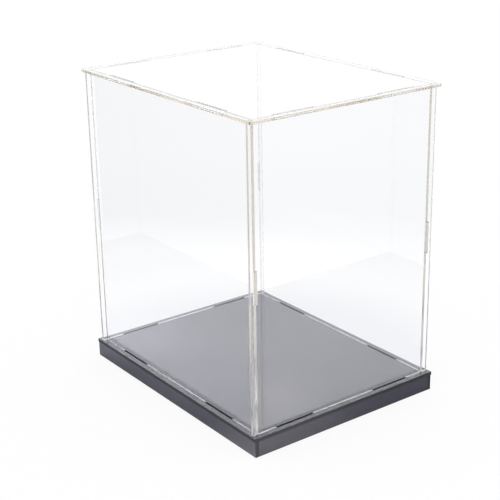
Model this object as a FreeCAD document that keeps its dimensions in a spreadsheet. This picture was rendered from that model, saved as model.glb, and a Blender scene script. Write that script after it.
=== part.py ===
"""Knock-down display case: clear slotted walls and top panel on a low black base.

Every sheet is a body: its outline padded to the sheet's thickness, its tabs padded on and its
slots pocketed through. The base's skirts are plain strips. Sizes are in millimetres, +Z is up,
-Y is the front, and the origin is the middle of the base's underside.
"""
import FreeCAD, Part
import Sketcher
import os

# Driving dimensions: name, value, meaning.
SIZES = (
    ("board_width", 240.0, "base board and top panel, left to right"),
    ("board_depth", 305.0, "base board and top panel, front to back"),
    ("board_thick", 4.0, "base board sheet"),
    ("board_radius", 0.5, "base board corners"),
    ("panel_thick", 3.0, "top panel sheet"),
    ("panel_radius", 4.0, "top panel corners"),
    ("skirt_height", 17.0, "strips under the base board"),
    ("skirt_thick", 4.0, "strips under the base board"),
    ("skirt_inset", 0.5, "strips set back from the board's edge"),
    ("wall_thick", 3.0, "clear wall sheets"),
    ("wall_height", 315.0, "base board to top panel"),
    ("wall_setback", 6.5, "walls' outer faces from the board's edge"),
    ("wall_ear", 4.5, "front and back walls past the side walls"),
    ("tab_length", 48.0, "upper and lower tabs along the wall"),
    ("front_tab_pitch", 129.0, "tab to tab on the front and back walls"),
    ("side_tab_pitch", 162.0, "tab to tab on the side walls"),
    ("corner_tab_length", 34.0, "upright tabs on the side walls' ends"),
    ("corner_tab_rise", 155.0, "middle of the corner tabs above the base board"),
    ("slot_play", 0.4, "gap on each side of a tab in its slot"),
)

doc = FreeCAD.newDocument("DisplayCase")
sheet = doc.addObject("Spreadsheet::Sheet", "Sizes")
for row, (alias, value, meaning) in enumerate(SIZES, start=1):
    sheet.set(f"A{row}", alias)
    sheet.set(f"B{row}", str(value))
    sheet.set(f"C{row}", meaning)
    sheet.setAlias(f"B{row}", alias)
doc.recompute()

# Places that several pieces share, as expressions on the sheet.
SIDE_FACE = "(Sizes.board_width / 2 - Sizes.wall_setback)"
FRONT_FACE = "(Sizes.board_depth / 2 - Sizes.wall_setback)"
FRONT_INNER = f"({FRONT_FACE} - Sizes.wall_thick)"
BOARD_TOP = "(Sizes.skirt_height + Sizes.board_thick)"
PANEL_BOTTOM = f"({BOARD_TOP} + Sizes.wall_height)"
SLOT_LENGTH = "(Sizes.tab_length + 2 * Sizes.slot_play)"
SLOT_WIDTH = "(Sizes.wall_thick + 2 * Sizes.slot_play)"
SKIRT_WIDTH = "(Sizes.board_width - 2 * Sizes.skirt_inset)"
SKIRT_DEPTH = "(Sizes.board_depth - 2 * Sizes.skirt_inset)"


def new_body(label, x="0", y="0", z="0"):
    """Add a body whose place follows three expressions."""
    body = doc.addObject("PartDesign::Body", label)
    body.Label = label
    for axis, expression in (("x", x), ("y", y), ("z", z)):
        body.setExpression(f"Placement.Base.{axis}", expression)
    return body


def new_sketch(body, name, role):
    """Add a sketch on one of the body's origin planes."""
    sketch = body.newObject("Sketcher::SketchObject", name)
    plane = next(item for item in body.Origin.OriginFeatures if item.Role == role)
    sketch.AttachmentSupport = [(plane, "")]
    sketch.MapMode = "FlatFace"
    return sketch


def draw_rectangle(sketch, centre, size):
    """Draw a rectangle whose centre and sides follow pairs of expressions."""
    width, height = (float(sketch.evalExpression(side)) for side in size)
    left = float(sketch.evalExpression(centre[0])) - width / 2
    low = float(sketch.evalExpression(centre[1])) - height / 2
    corners = [
        FreeCAD.Vector(left, low),
        FreeCAD.Vector(left + width, low),
        FreeCAD.Vector(left + width, low + height),
        FreeCAD.Vector(left, low + height),
    ]
    bottom, right, top, upright = (
        sketch.addGeometry(Part.LineSegment(corners[i], corners[(i + 1) % 4])) for i in range(4)
    )
    sides = (bottom, right, top, upright)
    for this, following in zip(sides, sides[1:] + sides[:1]):
        sketch.addConstraint(Sketcher.Constraint("Coincident", this, 2, following, 1))
    for line in (bottom, top):
        sketch.addConstraint(Sketcher.Constraint("Horizontal", line))
    for line in (right, upright):
        sketch.addConstraint(Sketcher.Constraint("Vertical", line))
    driven = (
        (Sketcher.Constraint("DistanceX", bottom, 1, bottom, 2, width), size[0]),
        (Sketcher.Constraint("DistanceY", right, 1, right, 2, height), size[1]),
        (Sketcher.Constraint("DistanceX", -1, 1, bottom, 1, left), f"{centre[0]} - {size[0]} / 2"),
        (Sketcher.Constraint("DistanceY", -1, 1, bottom, 1, low), f"{centre[1]} - {size[1]} / 2"),
    )
    for constraint, expression in driven:
        index = sketch.addConstraint(constraint)
        sketch.setExpression(f"Constraints[{index}]", expression)


def pad(body, sketch, name, length):
    """Pad a sketch by an expression."""
    feature = body.newObject("PartDesign::Pad", name)
    feature.Profile = sketch
    feature.setExpression("Length", length)
    doc.recompute()
    return feature


def pocket_through(body, sketch, name):
    """Pocket a sketch through the solid on the side that it was padded to."""
    before = body.Shape.Volume
    feature = body.newObject("PartDesign::Pocket", name)
    feature.Profile = sketch
    feature.Type = "ThroughAll"
    feature.Reversed = True
    doc.recompute()
    if body.Shape.Volume >= before:
        raise RuntimeError(f"{body.Label}: {name} cuts nothing")
    return feature


def round_corners(body, base, name, radius):
    """Round the upright corners of a flat sheet."""
    uprights = [
        f"Edge{number}"
        for number, edge in enumerate(base.Shape.Edges, start=1)
        if abs(edge.tangentAt(edge.FirstParameter).z) > 0.99
    ]
    feature = body.newObject("PartDesign::Fillet", name)
    feature.Base = (base, uprights)
    feature.setExpression("Radius", radius)
    doc.recompute()
    return feature


def flat_sheet(label, z, thick, radius):
    """Make a level sheet with a closed slot for each of the walls' tabs on that level."""
    body = new_body(label, z=z)
    outline = new_sketch(body, f"{label}_outline", "XY_Plane")
    draw_rectangle(outline, ("0", "0"), ("Sizes.board_width", "Sizes.board_depth"))
    plate = pad(body, outline, f"{label}_plate", thick)
    round_corners(body, plate, f"{label}_corners", radius)
    slots = new_sketch(body, f"{label}_slot_outlines", "XY_Plane")
    for across in (-1, 1):
        for along in (-1, 1):
            front_x = f"{along} * Sizes.front_tab_pitch / 2"
            front_y = f"{across} * ({FRONT_FACE} - Sizes.wall_thick / 2)"
            draw_rectangle(slots, (front_x, front_y), (SLOT_LENGTH, SLOT_WIDTH))
            side_x = f"{across} * ({SIDE_FACE} - Sizes.wall_thick / 2)"
            side_y = f"{along} * Sizes.side_tab_pitch / 2"
            draw_rectangle(slots, (side_x, side_y), (SLOT_WIDTH, SLOT_LENGTH))
    pocket_through(body, slots, f"{label}_slots")
    return body


def upright_sheet(body, role, width, pitch):
    """Make a wall with two tabs into the base board and two into the top panel."""
    outline = new_sketch(body, f"{body.Label}_outline", role)
    draw_rectangle(outline, ("0", "Sizes.wall_height / 2"), (width, "Sizes.wall_height"))
    pad(body, outline, f"{body.Label}_plate", "Sizes.wall_thick")
    tabs = new_sketch(body, f"{body.Label}_tab_outlines", role)
    for along in (-1, 1):
        centre = f"{along} * {pitch} / 2"
        draw_rectangle(tabs, (centre, "-Sizes.board_thick / 2"), ("Sizes.tab_length", "Sizes.board_thick"))
        top = "(Sizes.wall_height + Sizes.panel_thick / 2)"
        draw_rectangle(tabs, (centre, top), ("Sizes.tab_length", "Sizes.panel_thick"))
    pad(body, tabs, f"{body.Label}_tabs", "Sizes.wall_thick")
    return body


def front_or_back_wall(label, y):
    """Make a wall that runs past the side walls and has a slot for each of their corner tabs."""
    body = new_body(label, y=y, z=BOARD_TOP)
    upright_sheet(body, "XZ_Plane", f"(2 * {SIDE_FACE} + 2 * Sizes.wall_ear)", "Sizes.front_tab_pitch")
    slots = new_sketch(body, f"{label}_slot_outlines", "XZ_Plane")
    slot_height = "(Sizes.corner_tab_length + 2 * Sizes.slot_play)"
    for side in (-1, 1):
        centre = (f"{side} * ({SIDE_FACE} - Sizes.wall_thick / 2)", "Sizes.corner_tab_rise")
        draw_rectangle(slots, centre, (SLOT_WIDTH, slot_height))
    pocket_through(body, slots, f"{label}_slots")
    return body


def side_wall(label, x):
    """Make a wall between the front and back walls, with a corner tab through each of them."""
    body = new_body(label, x=x, z=BOARD_TOP)
    upright_sheet(body, "YZ_Plane", f"(2 * {FRONT_INNER})", "Sizes.side_tab_pitch")
    tabs = new_sketch(body, f"{label}_corner_tab_outlines", "YZ_Plane")
    for end in (-1, 1):
        centre = (f"{end} * ({FRONT_FACE} - Sizes.wall_thick / 2)", "Sizes.corner_tab_rise")
        draw_rectangle(tabs, centre, ("Sizes.wall_thick", "Sizes.corner_tab_length"))
    pad(body, tabs, f"{label}_corner_tabs", "Sizes.wall_thick")
    return body


def skirt(label, corner, length, width):
    """Make a strip under the base board from its low corner and its plan sizes."""
    strip = doc.addObject("Part::Box", label)
    strip.Label = label
    strip.setExpression("Length", length)
    strip.setExpression("Width", width)
    strip.setExpression("Height", "Sizes.skirt_height")
    strip.setExpression("Placement.Base.x", corner[0])
    strip.setExpression("Placement.Base.y", corner[1])
    return strip


def build():
    """Make every piece of the case."""
    left_x = f"-{SKIRT_WIDTH} / 2"
    front_y = f"-{SKIRT_DEPTH} / 2"
    right_x = f"{SKIRT_WIDTH} / 2 - Sizes.skirt_thick"
    back_y = f"{SKIRT_DEPTH} / 2 - Sizes.skirt_thick"
    between_x = f"{left_x} + Sizes.skirt_thick"
    between = f"{SKIRT_WIDTH} - 2 * Sizes.skirt_thick"
    return [
        skirt("left_skirt", (left_x, front_y), "Sizes.skirt_thick", SKIRT_DEPTH),
        skirt("right_skirt", (right_x, front_y), "Sizes.skirt_thick", SKIRT_DEPTH),
        skirt("front_skirt", (between_x, front_y), between, "Sizes.skirt_thick"),
        skirt("back_skirt", (between_x, back_y), between, "Sizes.skirt_thick"),
        flat_sheet("base_board", "Sizes.skirt_height", "Sizes.board_thick", "Sizes.board_radius"),
        front_or_back_wall("front_wall", f"-{FRONT_INNER}"),
        front_or_back_wall("back_wall", FRONT_FACE),
        side_wall("left_wall", f"-{SIDE_FACE}"),
        side_wall("right_wall", f"{SIDE_FACE} - Sizes.wall_thick"),
        flat_sheet("top_panel", PANEL_BOTTOM, "Sizes.panel_thick", "Sizes.panel_radius"),
    ]


def check(pieces):
    """Stop if any object failed to build or any piece is not a single valid solid."""
    for item in doc.Objects:
        if "Invalid" in item.State or "Error" in item.State:
            raise RuntimeError(f"{item.Label} failed: {item.State}")
    for piece in pieces:
        shape = piece.Shape
        if shape.isNull() or not shape.isValid() or len(shape.Solids) != 1:
            raise RuntimeError(f"{piece.Label} is not one valid solid")


pieces = build()
doc.recompute()
check(pieces)
os.makedirs("parts", exist_ok=True)
for piece in pieces:
    piece.Shape.exportStep(f"parts/{piece.Label}.step")
    box = piece.Shape.BoundBox
    print(f"{piece.Label}: {box.XLength:.1f} x {box.YLength:.1f} x {box.ZLength:.1f} mm")
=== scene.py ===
"""Looks of a knock-down display case: clear slotted sheets locked together over a low black base.

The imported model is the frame. Each of its sheets and strips is cut again here from its outline,
with fine chamfers, hairline air gaps where sheets touch and marked cut edges, and stands in its
node's place. Lengths are in metres, +Z is up and -Y is the front.
"""
import logging
import math
from collections.abc import Iterable, Sequence
from dataclasses import dataclass, field
from enum import Enum
from typing import Protocol

import bpy
from mathutils import Matrix, Vector


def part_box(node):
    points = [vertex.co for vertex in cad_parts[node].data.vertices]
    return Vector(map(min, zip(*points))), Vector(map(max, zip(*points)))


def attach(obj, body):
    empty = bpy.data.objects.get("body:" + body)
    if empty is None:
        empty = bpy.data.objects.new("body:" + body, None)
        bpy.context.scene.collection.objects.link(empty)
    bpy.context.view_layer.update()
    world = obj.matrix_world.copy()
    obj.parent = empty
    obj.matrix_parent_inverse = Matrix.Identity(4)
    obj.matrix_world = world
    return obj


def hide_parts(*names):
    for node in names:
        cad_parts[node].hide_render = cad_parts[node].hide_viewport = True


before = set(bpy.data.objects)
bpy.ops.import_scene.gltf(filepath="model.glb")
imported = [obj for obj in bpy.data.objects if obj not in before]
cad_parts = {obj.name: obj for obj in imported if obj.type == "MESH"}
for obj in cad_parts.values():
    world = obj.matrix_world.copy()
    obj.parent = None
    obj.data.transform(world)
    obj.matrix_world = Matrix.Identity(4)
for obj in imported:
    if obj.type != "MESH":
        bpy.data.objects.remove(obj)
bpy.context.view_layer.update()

MM = 0.001
LOG = logging.getLogger("display_case")

Point = tuple[float, float]
Range = tuple[float, float]
Place = tuple[float, float, float]
Colour = tuple[float, float, float]
Socket = bpy.types.NodeSocket

WHITE = (1.0, 1.0, 1.0, 1.0)
BLACK = (0.0, 0.0, 0.0, 1.0)
ORIGIN = (0.0, 0.0, 0.0)


class Body(Enum):
    """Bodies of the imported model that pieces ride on."""

    BASE = "base"
    COVER = "cover"
    TOP = "top"


class Facing(Enum):
    """Turn that takes a sheet from its own flat plane to how it stands."""

    LEVEL = (0.0, 0.0, 0.0)
    ACROSS = (math.pi / 2, 0.0, 0.0)
    ALONG = (math.pi / 2, 0.0, math.pi / 2)


class Mark(Enum):
    """Attributes that a cut sheet carries for its finish."""

    CUT_EDGE = "cut_edge"
    IN_PLANE = "in_plane"
    SLOT_SIZE = "slot_size"


class NodeBoard:
    """Adds and joins nodes of one tree."""

    def __init__(self, tree: bpy.types.NodeTree) -> None:
        """Keep the shader or geometry tree that gets the nodes."""
        self.tree = tree

    def add(self, kind: str, **settings: object) -> bpy.types.Node:
        """Add a node.

        Args:
            kind: Node type.
            settings: Properties of the node.

        Returns:
            The new node.
        """
        node = self.tree.nodes.new(kind)
        for name, value in settings.items():
            setattr(node, name, value)
        return node

    def feed(self, node: bpy.types.Node, **inputs: object) -> bpy.types.Node:
        """Set or link a node's inputs.

        Args:
            node: Node whose inputs are fed.
            inputs: Values or output sockets by input name, with _ for a space.

        Returns:
            The same node.
        """
        for name, value in inputs.items():
            self.put(node.inputs[name.replace("_", " ")], value)
        return node

    def put(self, socket: Socket, value: object) -> None:
        """Set one input to a value or link it to an output.

        Args:
            socket: Input socket.
            value: Plain value or output socket.
        """
        if isinstance(value, Socket):
            self.tree.links.new(value, socket)
        else:
            socket.default_value = value

    def maths(self, operation: str, *values: object) -> Socket:
        """Add a Math node.

        Args:
            operation: Name of the operation.
            values: Values or output sockets in the operation's order.

        Returns:
            The node's result.
        """
        node = self.add("ShaderNodeMath", operation=operation)
        for socket, value in zip(node.inputs, values):
            self.put(socket, value)
        return node.outputs[0]

    def blend(
        self, factor: object, first: object, second: object, kind: str = "MIX"
    ) -> Socket:
        """Mix two colours.

        Args:
            factor: Share of the second colour.
            first: Colour or output socket.
            second: Colour or output socket.
            kind: Way of mixing.

        Returns:
            The mixed colour.
        """
        node = self.add("ShaderNodeMix", data_type="RGBA", blend_type=kind)
        # Its colour sockets share their names with others, so they go by number.
        self.put(node.inputs[0], factor)
        self.put(node.inputs[6], first)
        self.put(node.inputs[7], second)
        return node.outputs[2]

    def spread(self, value: object, low: float, high: float) -> Socket:
        """Map 0 to 1 onto a range.

        Args:
            value: Output socket that runs from 0 to 1.
            low: Result at 0.
            high: Result at 1.

        Returns:
            The mapped value.
        """
        node = self.add("ShaderNodeMapRange")
        self.feed(node, Value=value, To_Min=low, To_Max=high)
        return node.outputs[0]

    def between(self, value: object, low: float, high: float) -> Socket:
        """Measure how far a value is from one limit to another.

        Args:
            value: Output socket.
            low: Where the result is 0.
            high: Where it is 1.

        Returns:
            The share from 0 to 1.
        """
        node = self.add("ShaderNodeMapRange")
        self.feed(node, Value=value, From_Min=low, From_Max=high)
        return node.outputs[0]

    def ramp(self, value: object, stops: Sequence[tuple[float, Colour]]) -> Socket:
        """Turn a value into colours.

        Args:
            value: Output socket that runs from 0 to 1.
            stops: Places from 0 to 1 and their colours.

        Returns:
            The colour.
        """
        node = self.add("ShaderNodeValToRGB")
        elements = node.color_ramp.elements
        while len(elements) < len(stops):
            elements.new(1.0)
        for element, (place, colour) in zip(elements, stops):
            element.position, element.color = place, rgba(colour)
        self.put(node.inputs[0], value)
        return node.outputs[0]

    def vectors(self, operation: str, first: object, second: object) -> Socket:
        """Measure one vector against another.

        Args:
            operation: Name of an operation that gives a number.
            first: Vector or output socket.
            second: Vector or output socket.

        Returns:
            The number.
        """
        node = self.add("ShaderNodeVectorMath", operation=operation)
        self.put(node.inputs[0], first)
        self.put(node.inputs[1], second)
        return node.outputs["Value"]

    def nearness(self, vector: object, centre: Place, radius: float) -> Socket:
        """Measure how near a place is to a centre, from 0 at the radius to 1."""
        return self.between(self.vectors("DISTANCE", vector, centre), radius, 0.0)

    def mark(self, mark: Mark) -> bpy.types.NodeOutputs:
        """Read an attribute of a cut sheet in a shader."""
        return self.add("ShaderNodeAttribute", attribute_name=mark.value).outputs

    def bump(self, height: object) -> Socket:
        """Turn a height in metres into a shading normal."""
        node = self.add("ShaderNodeBump")
        return self.feed(node, Strength=1.0, Distance=1.0, Height=height).outputs[0]

    def noise(self, vector: object, scale: float, detail: float) -> Socket:
        """Add a noise pattern.

        Args:
            vector: Coordinates that it follows.
            scale: Spots per metre.
            detail: Finer layers.

        Returns:
            The pattern from 0 to 1.
        """
        node = self.add("ShaderNodeTexNoise")
        self.feed(node, Vector=vector, Scale=scale, Detail=detail)
        return node.outputs[0]


def rgba(colour: Colour) -> tuple[float, float, float, float]:
    """Give a colour full alpha."""
    return (*colour, 1.0)


def new_material(
    name: str,
) -> tuple[bpy.types.Material, NodeBoard, bpy.types.Node, bpy.types.Node]:
    """Make an empty node material.

    Args:
        name: Name of the material.

    Returns:
        The material, its board, its Principled node and its output node.
    """
    material = bpy.data.materials.new(name)
    material.use_nodes = True
    material.node_tree.nodes.clear()
    board = NodeBoard(material.node_tree)
    shader = board.add("ShaderNodeBsdfPrincipled")
    output = board.add("ShaderNodeOutputMaterial")
    board.feed(output, Surface=shader.outputs[0])
    return material, board, shader, output


class Finish(Protocol):
    """What a sheet asks of its finish."""

    name: str
    slot: str

    def make(self) -> bpy.types.Material:
        """Make the material."""


@dataclass(frozen=True)
class ClearAcrylic:
    """Clear cast sheet: polished faces, and laser-cut edges that gather dust where they face up."""

    name: str
    slot: str = "clear_acrylic"
    ior: float = 1.49
    face: Colour = (0.998, 0.999, 1.0)
    edge: Colour = (0.950, 0.930, 0.890)
    edge_roughness: Range = (0.32, 0.36)
    edge_clearness: float = 0.92
    dust: Colour = (0.98, 0.98, 0.98)
    dust_clearness: float = 0.6
    dust_tilt: Range = (0.2, 0.8)
    lines_per_metre: float = 2400.0
    line_depth: float = 0.0004 * MM
    line_wear: Range = (0.9, 1.1)
    smudges_per_metre: float = 24.0
    smudge_roughness: Range = (0.0, 0.004)
    depth_colour: Colour = (0.58, 0.42, 0.06)
    depth_density: float = 0.9

    def make(self) -> bpy.types.Material:
        """Make the material.

        Returns:
            One material for faces and edges, because the sheet is one closed volume.
        """
        material, board, shader, output = new_material(self.name)
        edge = board.mark(Mark.CUT_EDGE)["Fac"]
        plane = board.mark(Mark.IN_PLANE)["Vector"]
        place = board.add("ShaderNodeTexCoord").outputs["Object"]
        normal = board.add("ShaderNodeNewGeometry").outputs["Normal"]
        upward = board.feed(board.add("ShaderNodeSeparateXYZ"), Vector=normal).outputs["Z"]
        dusty = board.maths("MULTIPLY", edge, board.between(upward, *self.dust_tilt))
        lines = board.noise(plane, self.lines_per_metre, detail=1.0)
        smudges = board.noise(place, self.smudges_per_metre, detail=3.0)
        height = board.maths("MULTIPLY", board.maths("MULTIPLY", lines, edge), self.line_depth)
        rough = board.maths(
            "MULTIPLY", board.spread(lines, *self.line_wear),
            board.spread(board.between(upward, 0.0, 1.0), *self.edge_roughness),
        )
        smudged = board.spread(smudges, *self.smudge_roughness)
        cut = board.blend(dusty, rgba(self.edge), rgba(self.dust))
        lost = board.spread(dusty, 1.0 - self.edge_clearness, 1.0 - self.dust_clearness)
        board.feed(
            shader,
            Base_Color=board.blend(edge, rgba(self.face), cut),
            Roughness=board.maths("MULTIPLY_ADD", edge, rough, smudged),
            IOR=self.ior,
            Transmission_Weight=board.maths("SUBTRACT", 1.0, board.maths("MULTIPLY", edge, lost)),
            Normal=board.bump(height),
        )
        depth = board.add("ShaderNodeVolumeAbsorption")
        board.feed(depth, Color=rgba(self.depth_colour), Density=self.depth_density)
        board.feed(output, Volume=depth.outputs[0])
        return material


@dataclass(frozen=True)
class BlackAcrylic:
    """Black cast sheet: faces with a faint grey bloom of dust, and plainer, darker cut edges."""

    name: str
    slot: str = "black_acrylic"
    ior: float = 1.52
    deep: Colour = (0.016, 0.016, 0.022)
    dusty: Colour = (0.028, 0.028, 0.040)
    edge: Colour = (0.012, 0.012, 0.015)
    roughness: Range = (0.008, 0.02)
    edge_roughness: float = 0.65
    coat: float = 0.5
    coat_roughness: float = 0.01
    coat_ior: float = 1.5
    mottle_per_metre: float = 420.0
    clouds_per_metre: float = 14.0
    cloud_strength: Range = (0.5, 1.5)
    grain_depth: float = 0.0

    def make(self) -> bpy.types.Material:
        """Make the material.

        Returns:
            One material for faces and edges.
        """
        material, board, shader, _ = new_material(self.name)
        edge = board.mark(Mark.CUT_EDGE)["Fac"]
        place = board.add("ShaderNodeTexCoord").outputs["Object"]
        mottle = board.noise(place, self.mottle_per_metre, detail=4.0)
        clouds = board.noise(place, self.clouds_per_metre, detail=3.0)
        bloom = board.maths("MULTIPLY", mottle, board.spread(clouds, *self.cloud_strength))
        face = board.blend(bloom, rgba(self.deep), rgba(self.dusty))
        shine = board.spread(bloom, *self.roughness)
        matt = board.maths("MULTIPLY", edge, self.edge_roughness)
        board.feed(
            shader,
            Base_Color=board.blend(edge, face, rgba(self.edge)),
            Roughness=board.maths("MAXIMUM", shine, matt),
            IOR=self.ior,
            Coat_Weight=board.spread(edge, self.coat, 0.0) if self.coat else 0.0,
            Coat_Roughness=self.coat_roughness,
            Coat_IOR=self.coat_ior,
        )
        if self.grain_depth:
            grain = board.maths("MULTIPLY", mottle, self.grain_depth)
            board.feed(shader, Normal=board.bump(grain))
        return material


@dataclass(frozen=True)
class Tab:
    """Rectangular tab on a sheet's edge: its middle along the edge, its length and its reach."""

    middle: float
    length: float
    reach: float


def tabbed_edge(start: Point, end: Point, tabs: Iterable[Tab] = ()) -> list[Point]:
    """Follow an edge and step out to its right round each tab.

    Args:
        start: First corner, which is in the result.
        end: Last corner, which is left to the next edge.
        tabs: Tabs on the edge, placed from its middle towards its end.

    Returns:
        The corners from start on.
    """
    first, last = Vector(start), Vector(end)
    along = (last - first).normalized()
    outward = Vector((along.y, -along.x))
    middle = (first + last) / 2
    corners = [first]
    for tab in sorted(tabs, key=lambda item: item.middle):
        near = middle + along * (tab.middle - tab.length / 2)
        far = middle + along * (tab.middle + tab.length / 2)
        step = outward * tab.reach
        corners += [near, near + step, far + step, far]
    return [(corner.x, corner.y) for corner in corners]


@dataclass
class Outline:
    """Closed line of a sheet in its own plane, with the middles and sizes of its slots."""

    corners: list[Point]
    slots: list[tuple[Point, Point]] = field(default_factory=list)

    @classmethod
    def rectangle(cls, low: Point, high: Point) -> "Outline":
        """Make a plain rectangle from its lowest and highest corners."""
        return cls([low, (high[0], low[1]), high, (low[0], high[1])])

    def to_mesh(self, name: str) -> bpy.types.Mesh:
        """Write the line as edges and the slots as loose points.

        Args:
            name: Name of the mesh.

        Returns:
            The mesh that the cutting tree takes.
        """
        count = len(self.corners)
        points = [*self.corners, *(middle for middle, _ in self.slots)]
        sizes = [(0.0, 0.0)] * count + [size for _, size in self.slots]
        mesh = bpy.data.meshes.new(name)
        mesh.from_pydata(
            [(x, y, 0.0) for x, y in points], [(i, (i + 1) % count) for i in range(count)], []
        )
        marks = mesh.attributes.new(Mark.SLOT_SIZE.value, "FLOAT_VECTOR", "POINT")
        marks.data.foreach_set("vector", [part for x, y in sizes for part in (x, y, 1.0)])
        return mesh


class SheetCutter:
    """Geometry Nodes tree that cuts a sheet: its outline filled, slots left out, then thickened."""

    CORNER_STEPS = 10
    WELD = 0.002 * MM

    def __init__(self) -> None:
        """Build the tree with its named inputs."""
        self.tree = bpy.data.node_groups.new("cut_sheet", "GeometryNodeTree")
        self.sockets: dict[str, str] = {}
        board = NodeBoard(self.tree)
        face = self.tree.interface
        face.new_socket("Outline", in_out="INPUT", socket_type="NodeSocketGeometry")
        for name, kind in (
            ("Thickness", "NodeSocketFloat"),
            ("Corner Radius", "NodeSocketFloat"),
            ("Turn", "NodeSocketVector"),
            ("Place", "NodeSocketVector"),
            ("Finish", "NodeSocketMaterial"),
        ):
            self.sockets[name] = face.new_socket(name, in_out="INPUT", socket_type=kind).identifier
        face.new_socket("Sheet", in_out="OUTPUT", socket_type="NodeSocketGeometry")
        given = board.add("NodeGroupInput").outputs
        flat = self._flat(board, given["Outline"], given["Corner Radius"])
        solid = self._thick(board, flat, given["Thickness"])
        turn = board.feed(board.add("FunctionNodeEulerToRotation"), Euler=given["Turn"]).outputs[0]
        moved = board.add("GeometryNodeTransform")
        board.feed(moved, Geometry=solid, Translation=given["Place"], Rotation=turn)
        real = board.feed(board.add("GeometryNodeRealizeInstances"), Geometry=moved.outputs[0])
        dressed = board.add("GeometryNodeSetMaterial")
        board.feed(dressed, Geometry=real.outputs[0], Material=given["Finish"])
        board.feed(board.add("NodeGroupOutput"), Sheet=dressed.outputs[0])

    def _flat(self, board: NodeBoard, outline: Socket, radius: Socket) -> Socket:
        """Fill the outline and leave a slot at each loose point.

        Args:
            board: Board of the tree.
            outline: Edges of the outline with the slots' middles as loose points.
            radius: Radius of the outline's corners.

        Returns:
            The flat sheet.
        """
        neighbours = board.add("GeometryNodeInputMeshVertexNeighbors").outputs["Vertex Count"]
        # A slot's point has no neighbours: the count, in the whole-number socket, equals 0.
        loose = board.add("FunctionNodeCompare", data_type="INT", operation="EQUAL")
        board.put(loose.inputs[2], neighbours)
        parted = board.add("GeometryNodeSeparateGeometry")
        board.feed(parted, Geometry=outline, Selection=loose.outputs[0])
        line = board.feed(board.add("GeometryNodeMeshToCurve"), Mesh=parted.outputs["Inverted"])
        rounded = board.add("GeometryNodeFilletCurve", mode="POLY")
        board.feed(
            rounded, Curve=line.outputs[0], Count=self.CORNER_STEPS, Radius=radius,
            Limit_Radius=True,
        )
        size = board.add("GeometryNodeInputNamedAttribute", data_type="FLOAT_VECTOR")
        board.feed(size, Name=Mark.SLOT_SIZE.value)
        unit = board.add("GeometryNodeCurvePrimitiveQuadrilateral")
        board.feed(unit, Width=1.0, Height=1.0)
        slots = board.add("GeometryNodeInstanceOnPoints")
        board.feed(
            slots, Points=parted.outputs["Selection"], Instance=unit.outputs[0],
            Scale=size.outputs[0],
        )
        cuts = board.feed(board.add("GeometryNodeRealizeInstances"), Geometry=slots.outputs[0])
        joined = board.add("GeometryNodeJoinGeometry")
        board.feed(joined, Geometry=cuts.outputs[0])
        board.feed(joined, Geometry=rounded.outputs[0])
        filled = board.add("GeometryNodeFillCurve", mode="NGONS")
        return board.feed(filled, Curve=joined.outputs[0]).outputs[0]

    def _thick(self, board: NodeBoard, flat: Socket, thickness: Socket) -> Socket:
        """Thicken the flat sheet upwards and mark its cut edges.

        Args:
            board: Board of the tree.
            flat: Flat sheet.
            thickness: Thickness of the sheet.

        Returns:
            The closed sheet.
        """
        position = board.add("GeometryNodeInputPosition").outputs[0]
        known = board.add("GeometryNodeStoreNamedAttribute", data_type="FLOAT_VECTOR")
        board.feed(known, Geometry=flat, Name=Mark.IN_PLANE.value, Value=position)
        upper = board.add("GeometryNodeExtrudeMesh")
        up = board.add("FunctionNodeInputVector", vector=(0.0, 0.0, 1.0))
        board.feed(
            upper, Mesh=known.outputs[0], Offset=up.outputs[0], Offset_Scale=thickness,
            Individual=False,
        )
        marked = board.add("GeometryNodeStoreNamedAttribute", data_type="FLOAT", domain="FACE")
        board.feed(
            marked, Geometry=upper.outputs["Mesh"], Selection=upper.outputs["Side"],
            Name=Mark.CUT_EDGE.value, Value=1.0,
        )
        lower = board.feed(board.add("GeometryNodeFlipFaces"), Mesh=known.outputs[0])
        joined = board.add("GeometryNodeJoinGeometry")
        board.feed(joined, Geometry=lower.outputs[0])
        board.feed(joined, Geometry=marked.outputs[0])
        welded = board.add("GeometryNodeMergeByDistance")
        return board.feed(welded, Geometry=joined.outputs[0], Distance=self.WELD).outputs[0]


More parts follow.
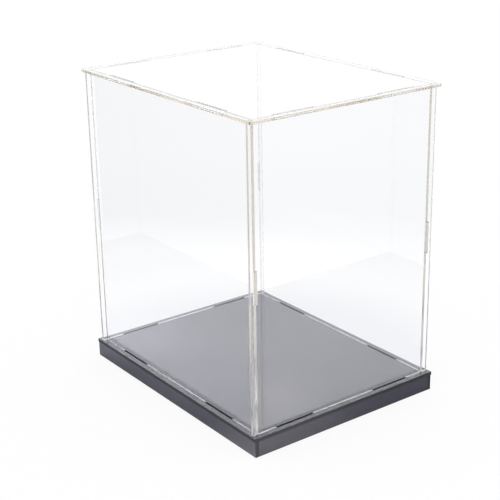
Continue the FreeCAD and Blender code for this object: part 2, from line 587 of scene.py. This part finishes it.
@dataclass
class Sheet:
    """One flat piece that is cut from sheet stock and takes the place of a node."""

    node: str
    body: Body
    facing: Facing
    outline: Outline
    thickness: float
    start: float
    finish: Finish
    corner_radius: float = 0.0
    chamfer: float = 0.12 * MM
    chamfer_angle: float = math.radians(40)
    sharp_angle: float = math.radians(20)

    def place(self) -> Vector:
        """Give where the sheet's own plane goes along the axis that it faces.

        Returns:
            The shift from the origin.
        """
        axis = {Facing.LEVEL: 2, Facing.ACROSS: 1, Facing.ALONG: 0}[self.facing]
        place = Vector(ORIGIN)
        place[axis] = self.start
        return place

    def build(self, cutter: SheetCutter, material: bpy.types.Material) -> bpy.types.Object:
        """Cut the sheet, chamfer it and put it in its node's place.

        Args:
            cutter: Tree that cuts it.
            material: Its finish, already made.

        Returns:
            The finished piece.
        """
        outline = self.outline.to_mesh(f"{self.node}_outline")
        draft = bpy.data.objects.new(f"{self.node}_draft", outline)
        bpy.context.scene.collection.objects.link(draft)
        cut = draft.modifiers.new("cut", "NODES")
        cut.node_group = cutter.tree
        for name, value in (
            ("Thickness", self.thickness),
            ("Corner Radius", self.corner_radius),
            ("Turn", self.facing.value),
            ("Place", self.place()),
            ("Finish", material),
        ):
            cut[cutter.sockets[name]] = value
        bevel = draft.modifiers.new("chamfer", "BEVEL")
        bevel.width = self.chamfer
        bevel.segments = 1
        bevel.limit_method = "ANGLE"
        bevel.angle_limit = self.chamfer_angle
        graph = bpy.context.evaluated_depsgraph_get()
        mesh = bpy.data.meshes.new_from_object(
            draft.evaluated_get(graph), preserve_all_data_layers=True, depsgraph=graph
        )
        bpy.data.objects.remove(draft)
        mesh.name = f"{self.node}_sheet"
        mesh.polygons.foreach_set("use_smooth", [True] * len(mesh.polygons))
        mesh.set_sharp_from_angle(angle=self.sharp_angle)
        piece = bpy.data.objects.new(f"{self.node}_sheet", mesh)
        bpy.context.scene.collection.objects.link(piece)
        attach(piece, self.body.value)
        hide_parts(self.node)
        return piece


class Assembly:
    """Sub-assembly whose pieces are all cut from sheet stock."""

    def sheets(self) -> list[Sheet]:
        """Describe the sheets."""
        raise NotImplementedError

    def build(
        self, cutter: SheetCutter, materials: dict[str, bpy.types.Material]
    ) -> list[bpy.types.Object]:
        """Cut and dress the sheets with finishes that are already made."""
        return [sheet.build(cutter, materials[sheet.finish.name]) for sheet in self.sheets()]


@dataclass(frozen=True)
class Joinery:
    """Sizes that the tabs and slots of neighbouring sheets share."""

    tab_length: float = 48.0 * MM
    front_pitch: float = 129.0 * MM
    side_pitch: float = 162.0 * MM
    corner_length: float = 34.0 * MM
    corner_height: float = 176.0 * MM
    play: float = 0.40 * MM
    air_gap: float = 0.06 * MM

    def pair(self, pitch: float, reach: float) -> list[Tab]:
        """Give an edge's two tabs, a pitch apart and standing out by their reach."""
        return [Tab(side * pitch / 2, self.tab_length, reach) for side in (-1, 1)]

    def level_slots(self, wall_x: float, wall_y: float, wall: float) -> list[tuple[Point, Point]]:
        """Give the eight slots of a level sheet.

        Args:
            wall_x: Middle of the side walls from the centre.
            wall_y: Middle of the front and back walls from the centre.
            wall: Thickness of the walls.

        Returns:
            Middle and size of each slot.
        """
        length, width = self.tab_length + 2 * self.play, wall + 2 * self.play
        slots = []
        for across in (-1, 1):
            for along in (-1, 1):
                slots.append(((along * self.front_pitch / 2, across * wall_y), (length, width)))
                slots.append(((across * wall_x, along * self.side_pitch / 2), (width, length)))
        return slots


def middle_of(node: str, axis: int) -> float:
    """Give the distance of a node's middle from the centre along an axis."""
    low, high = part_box(node)
    return abs(low[axis] + high[axis]) / 2


def level_outline(node: str, joinery: Joinery) -> Outline:
    """Outline a level sheet with a slot for each wall tab.

    Args:
        node: Node of the sheet.
        joinery: Sizes of the slots.

    Returns:
        Its outline.
    """
    low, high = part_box(node)
    outline = Outline.rectangle((low.x, low.y), (high.x, high.y))
    wall_low, wall_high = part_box("front_wall")
    outline.slots = joinery.level_slots(
        (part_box("right_wall")[1].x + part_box("right_wall")[0].x) / 2,
        middle_of("back_wall", 1),
        wall_high.y - wall_low.y,
    )
    return outline


@dataclass
class TopPanel(Assembly):
    """Clear panel that lies on the walls and locks over their upper tabs."""

    joinery: Joinery
    finish: Finish
    corner_radius: float = 4.0 * MM

    def sheets(self) -> list[Sheet]:
        """Describe the panel.

        Returns:
            The panel alone.
        """
        low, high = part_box("top_panel")
        return [
            Sheet(
                "top_panel", Body.TOP, Facing.LEVEL, level_outline("top_panel", self.joinery),
                high.z - low.z, low.z, self.finish, self.corner_radius,
            )
        ]


@dataclass
class Cover(Assembly):
    """Four clear walls that lock into each other, the base and the top panel."""

    joinery: Joinery
    finish: Finish

    def _reaches(self) -> tuple[float, float, float, float]:
        """Find how far the walls reach.

        Returns:
            Heights of the lower and upper edges, then the reach of the tabs below and above them.
        """
        board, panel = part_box("base_board"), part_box("top_panel")
        gap = self.joinery.air_gap
        bottom, top = board[1].z + gap, panel[0].z - gap
        return bottom, top, bottom - board[0].z - gap, panel[1].z - top

    def _front_or_back(self, node: str) -> Sheet:
        """Describe a wall that runs past the side walls and takes their corner tabs.

        Args:
            node: Node of the wall.

        Returns:
            The wall.
        """
        low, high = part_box(node)
        bottom, top, down, up = self._reaches()
        joinery, pitch = self.joinery, self.joinery.front_pitch
        corners = [
            *tabbed_edge((low.x, bottom), (high.x, bottom), joinery.pair(pitch, down)),
            *tabbed_edge((high.x, bottom), (high.x, top)),
            *tabbed_edge((high.x, top), (low.x, top), joinery.pair(pitch, up)),
            *tabbed_edge((low.x, top), (low.x, bottom)),
        ]
        wall_low, wall_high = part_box("right_wall")
        width = wall_high.x - wall_low.x + 2 * joinery.play
        height = joinery.corner_length + 2 * joinery.play
        middle = (wall_low.x + wall_high.x) / 2
        slots = [((side * middle, joinery.corner_height), (width, height)) for side in (-1, 1)]
        return Sheet(
            node, Body.COVER, Facing.ACROSS, Outline(corners, slots),
            high.y - low.y, high.y, self.finish,
        )

    def _side(self, node: str) -> Sheet:
        """Describe a wall between the front and back walls, with a corner tab at each end.

        Args:
            node: Node of the wall.

        Returns:
            The wall.
        """
        low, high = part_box(node)
        bottom, top, down, up = self._reaches()
        joinery, pitch = self.joinery, self.joinery.side_pitch
        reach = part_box("back_wall")[1].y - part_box("back_wall")[0].y
        end = high.y - reach - joinery.air_gap
        rise = joinery.corner_height - (bottom + top) / 2
        length = joinery.corner_length
        corners = [
            *tabbed_edge((-end, bottom), (end, bottom), joinery.pair(pitch, down)),
            *tabbed_edge((end, bottom), (end, top), [Tab(rise, length, reach)]),
            *tabbed_edge((end, top), (-end, top), joinery.pair(pitch, up)),
            *tabbed_edge((-end, top), (-end, bottom), [Tab(-rise, length, reach)]),
        ]
        return Sheet(
            node, Body.COVER, Facing.ALONG, Outline(corners), high.x - low.x, low.x, self.finish
        )

    def sheets(self) -> list[Sheet]:
        """Describe the four walls.

        Returns:
            The front, back, left and right walls.
        """
        return [
            self._front_or_back("front_wall"),
            self._front_or_back("back_wall"),
            self._side("left_wall"),
            self._side("right_wall"),
        ]


@dataclass
class Base(Assembly):
    """Black slotted board on four strips."""

    joinery: Joinery
    board_finish: Finish
    skirt_finish: Finish
    corner_radius: float = 0.5 * MM
    chamfer: float = 0.25 * MM

    def _skirt(self, node: str) -> Sheet:
        """Describe a strip under the board.

        Args:
            node: Node of the strip.

        Returns:
            The strip.
        """
        low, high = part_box(node)
        if high.x - low.x > high.y - low.y:
            facing, thickness, start = Facing.ACROSS, high.y - low.y, high.y
            outline = Outline.rectangle((low.x, low.z), (high.x, high.z))
        else:
            facing, thickness, start = Facing.ALONG, high.x - low.x, low.x
            outline = Outline.rectangle((low.y, low.z), (high.y, high.z))
        return Sheet(
            node, Body.BASE, facing, outline, thickness, start, self.skirt_finish,
            chamfer=self.chamfer,
        )

    def sheets(self) -> list[Sheet]:
        """Describe the board and its strips.

        Returns:
            The board, then the strips.
        """
        low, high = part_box("base_board")
        board = Sheet(
            "base_board", Body.BASE, Facing.LEVEL, level_outline("base_board", self.joinery),
            high.z - low.z, low.z, self.board_finish, self.corner_radius, self.chamfer,
        )
        names = ("left_skirt", "right_skirt", "front_skirt", "back_skirt")
        return [board, *(self._skirt(name) for name in names)]


@dataclass(frozen=True)
class StudioCamera:
    """Camera at the photograph's viewing angle."""

    azimuth: float = math.radians(36.464)
    elevation: float = math.radians(20.342)
    roll: float = math.radians(-1.011)
    aim: Place = (0.0, 0.0, 0.190)
    slide: Point = (-7.21 * MM, -40.75 * MM)
    distance: float = 1.2858
    lens_mm: float = 85.79
    sensor_mm: float = 36.0
    clip: Range = (0.01, 50.0)

    def build(self) -> bpy.types.Object:
        """Make the camera and use it.

        Returns:
            The camera.
        """
        level = math.cos(self.elevation)
        east, north = math.sin(self.azimuth), math.cos(self.azimuth)
        forward = Vector((east * level, north * level, -math.sin(self.elevation)))
        right = Vector((north, -east, 0.0))
        up = right.cross(forward)
        turned_right = right * math.cos(self.roll) + up * math.sin(self.roll)
        turned_up = up * math.cos(self.roll) - right * math.sin(self.roll)
        data = bpy.data.cameras.new("studio_camera")
        data.sensor_width, data.lens = self.sensor_mm, self.lens_mm
        data.clip_start, data.clip_end = self.clip
        camera = bpy.data.objects.new("studio_camera", data)
        bpy.context.scene.collection.objects.link(camera)
        place = Vector(self.aim) + turned_right * self.slide[0] + turned_up * self.slide[1]
        axes = Matrix((turned_right, turned_up, -forward)).transposed()
        camera.matrix_world = Matrix.Translation(place - forward * self.distance) @ axes.to_4x4()
        bpy.context.scene.camera = camera
        return camera


@dataclass(frozen=True)
class LightPool:
    """Soft round patch of light on the floor that the case's polished faces mirror."""

    place: Place
    radius: float
    glow: Colour


@dataclass(frozen=True)
class Studio:
    """Plain white studio: a pale floor, a bright backdrop behind the case, a plainer room in front.

    The camera sees floor and surround as white. Polished faces mirror the backdrop and the light
    pools, and the clear sheets show the floor behind them in the tones of clear_glow, which paint
    shade next to the case and light further out.
    """

    # The surround: its plain level, then what mirrors and clear sheets show of it, by direction.
    world_level: float = 0.95
    backdrop: Colour = (1.53, 1.55, 1.67)
    backdrop_left: Colour = (1.80, 1.83, 1.98)
    left_blend: Range = (-0.02, -0.14)
    room: Colour = (0.90, 0.90, 0.93)
    room_blend: Range = (-0.4, 0.5)
    horizon: Colour = (1.07, 1.07, 1.08)
    horizon_blend: Range = (0.25, 0.37)
    backdrop_side: Place = (0.594, 0.804, 0.0)
    sweep_across: Place = (0.804, -0.594, 0.0)
    # The floor, and its glow where it is seen directly.
    floor_size: float = 12.0
    floor_drop: float = 0.05 * MM
    floor_colour: Colour = (0.55, 0.55, 0.57)
    floor_shade: float = 0.12
    floor_glow: float = 0.89
    # The floor through clear sheets, by nearness to the case: painted shade next to the case, a
    # painted bright band beyond it and darker floor further out, fading to the horizon far out.
    clear_reach: float = 1.5
    far_fade: Range = (0.55, 0.10)
    clear_glow: tuple[tuple[float, Colour], ...] = (
        (0.37, (0.880, 0.883, 0.900)),
        (0.50, (0.864, 0.870, 0.888)),
        (0.60, (0.862, 0.867, 0.885)),
        (0.66, (0.888, 0.892, 0.906)),
        (0.74, (0.926, 0.929, 0.936)),
        (0.80, (0.966, 0.968, 0.976)),
        (0.87, (0.885, 0.890, 0.915)),
    )
    # The floor in mirrors: a bright sweep, the darker floor beyond its sides, and pools of light.
    sweep_edge: Range = (0.53, 0.66)
    beyond: Colour = (0.30, 0.31, 0.34)
    mirrored_floor: Colour = (0.97, 0.98, 1.08)
    pools: tuple[LightPool, ...] = (
        LightPool((-0.172, 0.155, 0.0), 0.08, (0.60, 0.61, 0.70)),
        LightPool((-0.26, 0.08, 0.0), 0.12, (0.20, 0.20, 0.22)),
        LightPool((-0.185, 0.0, 0.0), 0.15, (0.42, 0.42, 0.52)),
        LightPool((-0.10, -0.175, 0.0), 0.12, (1.38, 1.33, 1.39)),
        LightPool((0.0, -0.17, 0.0), 0.15, (0.50, 0.49, 0.51)),
        LightPool((-0.02, -0.235, 0.0), 0.075, (0.85, 0.83, 0.85)),
        LightPool((0.03, -0.33, 0.0), 0.16, (0.85, 0.82, 0.85)),
    )
    # Depth of the light paths, for the many faces of stacked clear sheets.
    bounces: int = 160
    clear_bounces: int = 128

    def _world(self) -> None:
        """Make the surround, whose sides show in reflections and through clear edges."""
        world = bpy.data.worlds.new("studio")
        world.use_nodes = True
        world.node_tree.nodes.clear()
        board = NodeBoard(world.node_tree)
        path = board.add("ShaderNodeLightPath").outputs
        way = board.add("ShaderNodeTexCoord").outputs["Object"]
        side = board.vectors("DOT_PRODUCT", way, self.backdrop_side)
        across = board.vectors("DOT_PRODUCT", way, self.sweep_across)
        rise = board.feed(board.add("ShaderNodeSeparateXYZ"), Vector=way).outputs["Z"]
        leftward = board.between(across, *self.left_blend)
        paper = board.blend(leftward, rgba(self.backdrop), rgba(self.backdrop_left))
        around = board.blend(board.between(side, *self.room_blend), rgba(self.room), paper)
        risen = board.between(rise, *self.horizon_blend)
        around = board.blend(risen, rgba(self.horizon), around)
        mirrored = board.maths("MAXIMUM", path["Is Glossy Ray"], path["Is Transmission Ray"])
        light = board.blend(mirrored, rgba((self.world_level,) * 3), around)
        light = board.blend(path["Is Camera Ray"], light, WHITE)
        shader = board.feed(board.add("ShaderNodeBackground"), Strength=1.0, Color=light)
        board.feed(board.add("ShaderNodeOutputWorld"), Surface=shader.outputs[0])
        bpy.context.scene.world = world

    def _floor_material(self) -> bpy.types.Material:
        """Make the floor's finish.

        Returns:
            A material that shows as white with the case's shadow on it, and brighter in the case's
            polished faces where the light pools.
        """
        material, board, shader, output = new_material("studio_floor")
        material.node_tree.nodes.remove(shader)
        path = board.add("ShaderNodeLightPath").outputs
        place = board.add("ShaderNodeTexCoord").outputs["Object"]
        through, glossy = path["Is Transmission Ray"], path["Is Glossy Ray"]
        seen = board.maths("MAXIMUM", path["Is Camera Ray"], through)
        near = board.nearness(place, ORIGIN, self.clear_reach)
        inwards = board.nearness(place, ORIGIN, self.floor_size / 2)
        far = board.between(inwards, *self.far_fade)
        # Painted shade next to the case and a painted bright band further out, on the floor seen
        # through clear sheets.
        behind = board.blend(far, board.ramp(near, self.clear_glow), rgba(self.horizon))
        glow = board.blend(through, rgba((self.floor_glow,) * 3), behind)
        pooled = BLACK
        for pool in self.pools:
            lit = board.blend(
                board.nearness(place, pool.place, pool.radius), BLACK, rgba(pool.glow)
            )
            pooled = board.blend(1.0, pooled, lit, "ADD")
        glow = board.blend(seen, board.blend(glossy, BLACK, pooled), glow)
        away = board.maths("ABSOLUTE", board.vectors("DOT_PRODUCT", place, self.sweep_across))
        only_mirrored = board.maths("SUBTRACT", glossy, through)
        aside = board.maths("MULTIPLY", board.between(away, *self.sweep_edge), only_mirrored)
        glow = board.blend(aside, glow, BLACK)
        matt = board.blend(glossy, rgba(self.floor_colour), rgba(self.mirrored_floor))
        matt = board.blend(seen, matt, rgba((self.floor_shade,) * 3))
        matt = board.blend(aside, matt, rgba(self.beyond))
        both = board.add("ShaderNodeAddShader")
        for socket, kind, colour in zip(
            both.inputs, ("ShaderNodeBsdfDiffuse", "ShaderNodeEmission"), (matt, glow)
        ):
            board.put(socket, board.feed(board.add(kind), Color=colour).outputs[0])
        board.feed(output, Surface=both.outputs[0])
        return material

    def _floor(self) -> None:
        """Lay the pale floor, which keeps the case's soft shadow."""
        half = self.floor_size / 2
        mesh = bpy.data.meshes.new("floor")
        mesh.from_pydata(
            [(-half, -half, 0.0), (half, -half, 0.0), (half, half, 0.0), (-half, half, 0.0)],
            [], [(0, 1, 2, 3)],
        )
        mesh.materials.append(self._floor_material())
        floor = bpy.data.objects.new("floor", mesh)
        floor.location.z = -self.floor_drop
        bpy.context.scene.collection.objects.link(floor)

    def build(self) -> None:
        """Set up the surround, the floor and light paths deep enough for stacked clear sheets."""
        self._world()
        self._floor()
        scene = bpy.context.scene
        scene.view_settings.view_transform = "Standard"
        cycles = scene.cycles
        cycles.max_bounces = self.bounces
        cycles.glossy_bounces = cycles.transmission_bounces = self.clear_bounces


def main() -> None:
    """Build the case and its studio."""
    logging.basicConfig(level=logging.INFO, format="%(name)s: %(message)s")
    joinery = Joinery()
    wall_clear = ClearAcrylic("clear_acrylic_wall")
    panel_clear = ClearAcrylic(
        "clear_acrylic_panel", edge=(0.995, 0.980, 0.945), edge_roughness=(0.20, 0.33),
        edge_clearness=0.98, depth_density=1.2,
    )
    board_black = BlackAcrylic("black_acrylic_board")
    skirt_black = BlackAcrylic(
        "black_acrylic_skirt", deep=(0.010, 0.009, 0.016), dusty=(0.034, 0.032, 0.056),
        roughness=(0.12, 0.28), coat=0.0, grain_depth=0.004 * MM,
    )
    assemblies = (
        Base(joinery, board_black, skirt_black),
        Cover(joinery, wall_clear),
        TopPanel(joinery, panel_clear),
    )
    finishes = (wall_clear, panel_clear, board_black, skirt_black)
    materials = {finish.name: finish.make() for finish in finishes}
    cutter = SheetCutter()
    for assembly in assemblies:
        for piece in assembly.build(cutter, materials):
            LOG.info("%s: %d faces", piece.name, len(piece.data.polygons))
    Studio().build()
    StudioCamera().build()


if __name__ == "__main__":
    main()
